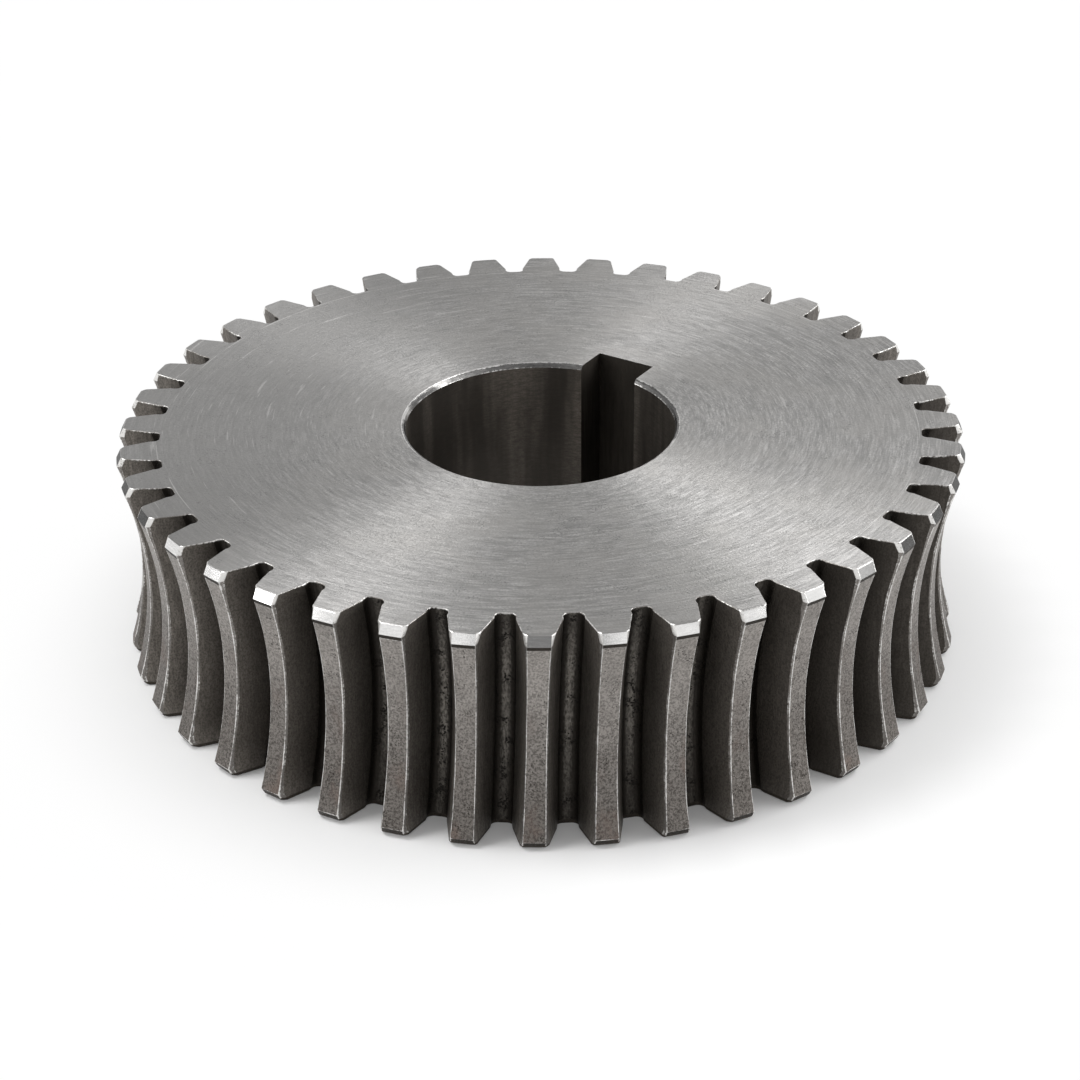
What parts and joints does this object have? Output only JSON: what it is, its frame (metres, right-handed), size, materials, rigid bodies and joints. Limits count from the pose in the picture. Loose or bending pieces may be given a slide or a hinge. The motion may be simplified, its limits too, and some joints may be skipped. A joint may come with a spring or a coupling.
{
  "type": "worm gear",
  "caption": "Throated steel worm wheel with curved, slightly slanted teeth, a chamfered rim and a keyed through bore.",
  "frame": {"origin": "centre of the lower face, on the bore's axis, where the wheel rests on a surface", "axes": "+Z along the bore from the lower face to the upper one, +Y from the bore's axis through the middle of the keyway, +X completes a right-handed frame and runs through a tooth gap"},
  "size_m": [0.131, 0.131, 0.035],
  "materials": {
    "steel": "turned faces and bore, hobbed teeth with a dark oily film between them, bright worn edges"
  },
  "bodies": {
    "root": {"worm_gear": "steel"}
  },
  "joints": []
}
